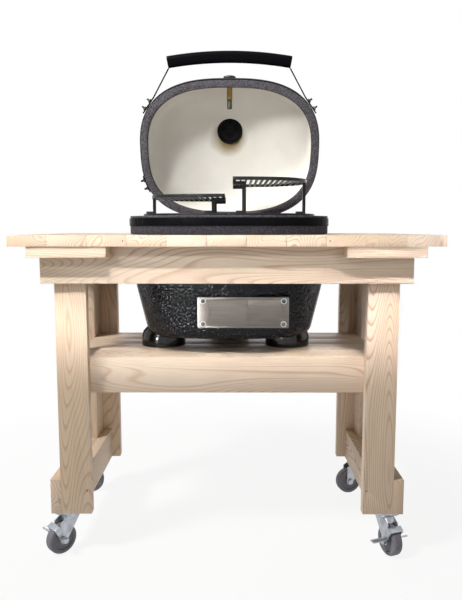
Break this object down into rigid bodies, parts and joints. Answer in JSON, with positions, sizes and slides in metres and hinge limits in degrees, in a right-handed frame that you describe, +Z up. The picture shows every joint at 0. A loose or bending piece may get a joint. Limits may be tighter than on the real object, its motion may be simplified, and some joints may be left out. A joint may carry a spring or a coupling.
{
  "type": "kamado grill table",
  "caption": "Oval ceramic kamado grill with hinged lid, vents, grates and raised racks, sunk in a slatted wooden table with a shelf, on swivel casters.",
  "frame": {"origin": "on the floor, under the centre of the whole part with its lid open", "axes": "+X to the right seen from the front, +Y to the rear, +Z up"},
  "size_m": [0.997, 0.6684, 1.3127],
  "materials": {
    "cedar": "sanded",
    "zinc": "zinc plated",
    "wheel_grey": "grey rubber",
    "nail_steel": "dull",
    "glazed_black": "pebbled gloss",
    "shoe_black": "gloss",
    "firebrick": "matte",
    "felt": "felt",
    "black_steel": "satin black",
    "stainless": "brushed",
    "grate_black": "enamelled black",
    "cast_black": "black",
    "grip_black": "satin",
    "brass": "dull"
  },
  "bodies": {
    "table": {"left_planks": "cedar", "right_planks": "cedar", "front_planks": "cedar", "rear_planks": "cedar", "front_apron": "cedar", "rear_apron": "cedar", "side_aprons": "cedar", "top_cleats": "cedar", "front_left_leg": "cedar", "front_right_leg": "cedar", "rear_left_leg": "cedar", "rear_right_leg": "cedar", "bottom_rails": "cedar", "shelf_rails": "cedar", "shelf_boards": "cedar", "shelf_ledgers": "cedar", "nails": "nail_steel", "front_left_plate": "zinc", "front_right_plate": "zinc", "rear_left_plate": "zinc", "rear_right_plate": "zinc", "caster_screws": "zinc", "base_shell": "glazed_black", "draft_pad": "glazed_black", "base_gasket": "felt", "base_band": "black_steel", "firebox_floor": "firebrick", "firebox": "firebrick", "fire_ring": "firebrick", "shoes": "shoe_black", "draft_frame": "stainless", "draft_screws": "stainless", "base_hinge": "black_steel", "hinge_pins": "zinc"},
    "lid": {"lid_shell": "glazed_black", "lid_gasket": "felt", "lid_band": "black_steel", "lid_hinge": "black_steel", "handle_brackets": "black_steel", "handle_bolts": "black_steel", "band_clamp": "black_steel", "handle_grip": "grip_black", "thermometer": "stainless", "thermometer_sleeve": "brass", "chimney_ring": "cast_black"},
    "damper": {"damper_cap": "cast_black"},
    "left_door": {"left_draft_door": "stainless"},
    "right_door": {"right_draft_door": "stainless"},
    "coal_grate": {"charcoal_grate": "cast_black"},
    "left_cooking_grate": {"left_grate": "grate_black"},
    "right_cooking_grate": {"right_grate": "grate_black"},
    "low_raised_rack": {"low_rack": "grate_black"},
    "high_raised_rack": {"high_rack": "grate_black"},
    "front_left_swivel": {"front_left_fork": "zinc"},
    "front_left_roller": {"front_left_wheel": "wheel_grey"},
    "front_left_lock": {"front_left_brake": "zinc"},
    "front_right_swivel": {"front_right_fork": "zinc"},
    "front_right_roller": {"front_right_wheel": "wheel_grey"},
    "front_right_lock": {"front_right_brake": "zinc"},
    "rear_left_swivel": {"rear_left_fork": "zinc"},
    "rear_left_roller": {"rear_left_wheel": "wheel_grey"},
    "rear_right_swivel": {"rear_right_fork": "zinc"},
    "rear_right_roller": {"rear_right_wheel": "wheel_grey"}
  },
  "joints": [
    {"name": "lid_hinge_turn", "type": "hinge", "parent": "table", "child": "lid", "pos_m": [0.004, 0.17997, 0.823], "axis": [1, 0, 0], "range_deg": [0, 70.2]},
    {"name": "damper_turn", "type": "hinge", "parent": "lid", "child": "damper", "pos_m": [0.004, 0.31382, 1.13907], "axis": [0, 0.9409, 0.3387], "range_deg": [0, 45]},
    {"name": "left_door_slide", "type": "slide", "parent": "table", "child": "left_door", "axis": [1, 0, 0], "range_m": [0, 0.072]},
    {"name": "right_door_slide", "type": "slide", "parent": "table", "child": "right_door", "axis": [1, 0, 0], "range_m": [-0.09, 0]},
    {"name": "charcoal_grate_lift", "type": "slide", "parent": "table", "child": "coal_grate", "axis": [0, 0, -1], "range_m": [-0.12, 0]},
    {"name": "left_grate_lift", "type": "slide", "parent": "table", "child": "left_cooking_grate", "axis": [0, 0, -1], "range_m": [-0.06, 0]},
    {"name": "right_grate_lift", "type": "slide", "parent": "table", "child": "right_cooking_grate", "axis": [0, 0, -1], "range_m": [-0.06, 0]},
    {"name": "low_rack_lift", "type": "slide", "parent": "left_cooking_grate", "child": "low_raised_rack", "axis": [0, 0, -1], "range_m": [-0.1, 0]},
    {"name": "high_rack_lift", "type": "slide", "parent": "right_cooking_grate", "child": "high_raised_rack", "axis": [0, 0, -1], "range_m": [-0.1, 0]},
    {"name": "front_left_swivel_turn", "type": "hinge", "parent": "table", "child": "front_left_swivel", "pos_m": [-0.402, -0.22257, 0.096], "axis": [0, 0, 1], "continuous": true},
    {"name": "front_left_wheel_turn", "type": "hinge", "parent": "front_left_swivel", "child": "front_left_roller", "pos_m": [-0.4218, -0.24237, 0.0381], "axis": [0.7071, -0.7071, 0], "continuous": true},
    {"name": "front_left_brake_press", "type": "hinge", "parent": "front_left_swivel", "child": "front_left_lock", "pos_m": [-0.4218, -0.24237, 0.0381], "axis": [0.7071, -0.7071, 0], "range_deg": [0, 10]},
    {"name": "front_right_swivel_turn", "type": "hinge", "parent": "table", "child": "front_right_swivel", "pos_m": [0.402, -0.22257, 0.096], "axis": [0, 0, 1], "continuous": true},
    {"name": "front_right_wheel_turn", "type": "hinge", "parent": "front_right_swivel", "child": "front_right_roller", "pos_m": [0.41249, -0.24853, 0.0381], "axis": [0.9272, 0.3746, 0], "continuous": true},
    {"name": "front_right_brake_press", "type": "hinge", "parent": "front_right_swivel", "child": "front_right_lock", "pos_m": [0.41249, -0.24853, 0.0381], "axis": [0.9272, 0.3746, 0], "range_deg": [0, 10]},
    {"name": "rear_left_swivel_turn", "type": "hinge", "parent": "table", "child": "rear_left_swivel", "pos_m": [-0.402, 0.13843, 0.096], "axis": [0, 0, 1], "continuous": true},
    {"name": "rear_left_wheel_turn", "type": "hinge", "parent": "rear_left_swivel", "child": "rear_left_roller", "pos_m": [-0.42957, 0.13357, 0.0381], "axis": [0.1736, -0.9848, 0], "continuous": true},
    {"name": "rear_right_swivel_turn", "type": "hinge", "parent": "table", "child": "rear_right_swivel", "pos_m": [0.402, 0.13843, 0.096], "axis": [0, 0, 1], "continuous": true},
    {"name": "rear_right_wheel_turn", "type": "hinge", "parent": "rear_right_swivel", "child": "rear_right_roller", "pos_m": [0.37495, 0.13118, 0.0381], "axis": [0.2588, -0.9659, 0], "continuous": true}
  ]
}
